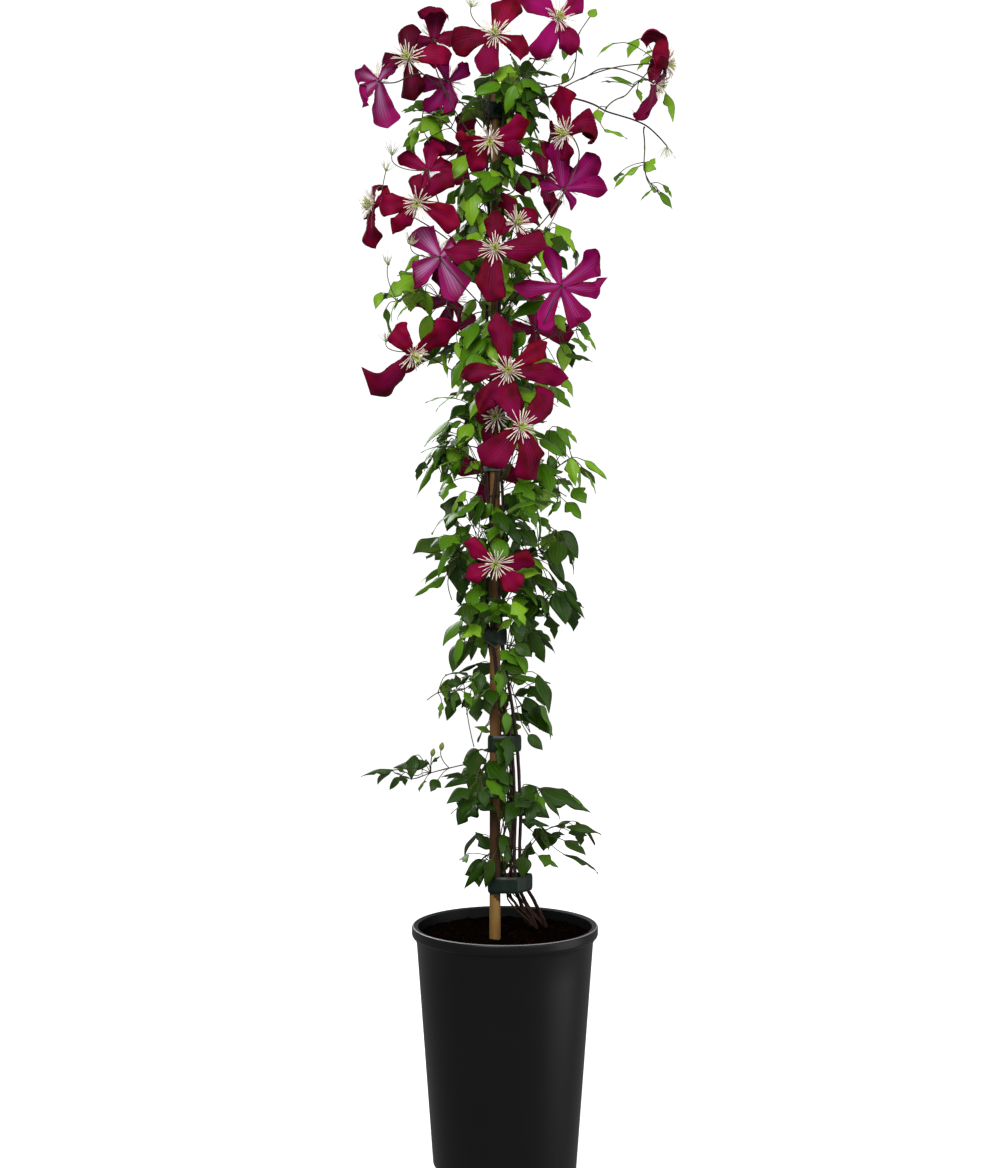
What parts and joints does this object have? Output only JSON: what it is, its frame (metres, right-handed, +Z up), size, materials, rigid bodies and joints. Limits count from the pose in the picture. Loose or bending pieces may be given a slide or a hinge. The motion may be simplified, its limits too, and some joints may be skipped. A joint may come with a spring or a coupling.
{
  "type": "potted clematis",
  "caption": "Climbing vine with wine-red small flowers and green leaflets, tied to one upright cane in a tall round tapering nursery pot filled with compost.",
  "frame": {"origin": "centre of the pot's flat underside, where it meets the floor", "axes": "+Z up along the cane from the pot's underside; -Y is the front that the picture shows, +X is the picture's right, where the thin arching bough reaches out"},
  "size_m": [0.2528, 0.1686, 0.949],
  "materials": {
    "stem": "woody vine",
    "cane": "dry bamboo",
    "flower": "wine-red sepals",
    "leaf": "green leaf",
    "pot": "satin black",
    "soil": "damp compost",
    "tie": "dark green plastic"
  },
  "bodies": {
    "root": {"arch_bough": "stem", "cane": "cane", "flower_back_low": "flower", "flower_centre": "flower", "flower_far_left": "flower", "flower_low_left": "flower", "flower_lowest": "flower", "flower_magenta": "flower", "flower_middle": "flower", "flower_middle_back": "flower", "flower_neck": "flower", "flower_pair_back_high": "flower", "flower_pair_back_mid": "flower", "flower_pair_far_right": "flower", "flower_pair_left": "flower", "flower_pair_low": "flower", "flower_pair_top_back": "flower", "flower_pair_top_left": "flower", "flower_right": "flower", "flower_striped": "flower", "flower_top": "flower", "flower_top_right": "flower", "leaves_band_left": "leaf", "leaves_band_right": "leaf", "leaves_crown": "leaf", "leaves_left_arm": "leaf", "leaves_left_mid": "leaf", "leaves_low_left": "leaf", "leaves_low_right": "leaf", "leaves_low_right_upper": "leaf", "leaves_mid_left_sprig": "leaf", "leaves_mid_right": "leaf", "leaves_neck_left": "leaf", "leaves_neck_right": "leaf", "leaves_shoulder_left": "leaf", "leaves_shoulder_right": "leaf", "leaves_side_left_high": "leaf", "leaves_side_left_low": "leaf", "leaves_side_right_high": "leaf", "leaves_side_right_low": "leaf", "leaves_upper_left": "leaf", "leaves_upper_middle": "leaf", "leaves_upper_right": "leaf", "pot": "pot", "soil": "soil", "sprig_down": "leaf", "sprig_top": "leaf", "sprig_up": "leaf", "stem_1": "stem", "stem_2": "stem", "stem_3": "stem", "tie_1": "tie", "tie_2": "tie", "tie_3": "tie", "tie_4": "tie", "tie_5": "tie", "tie_6": "tie"}
  },
  "joints": []
}
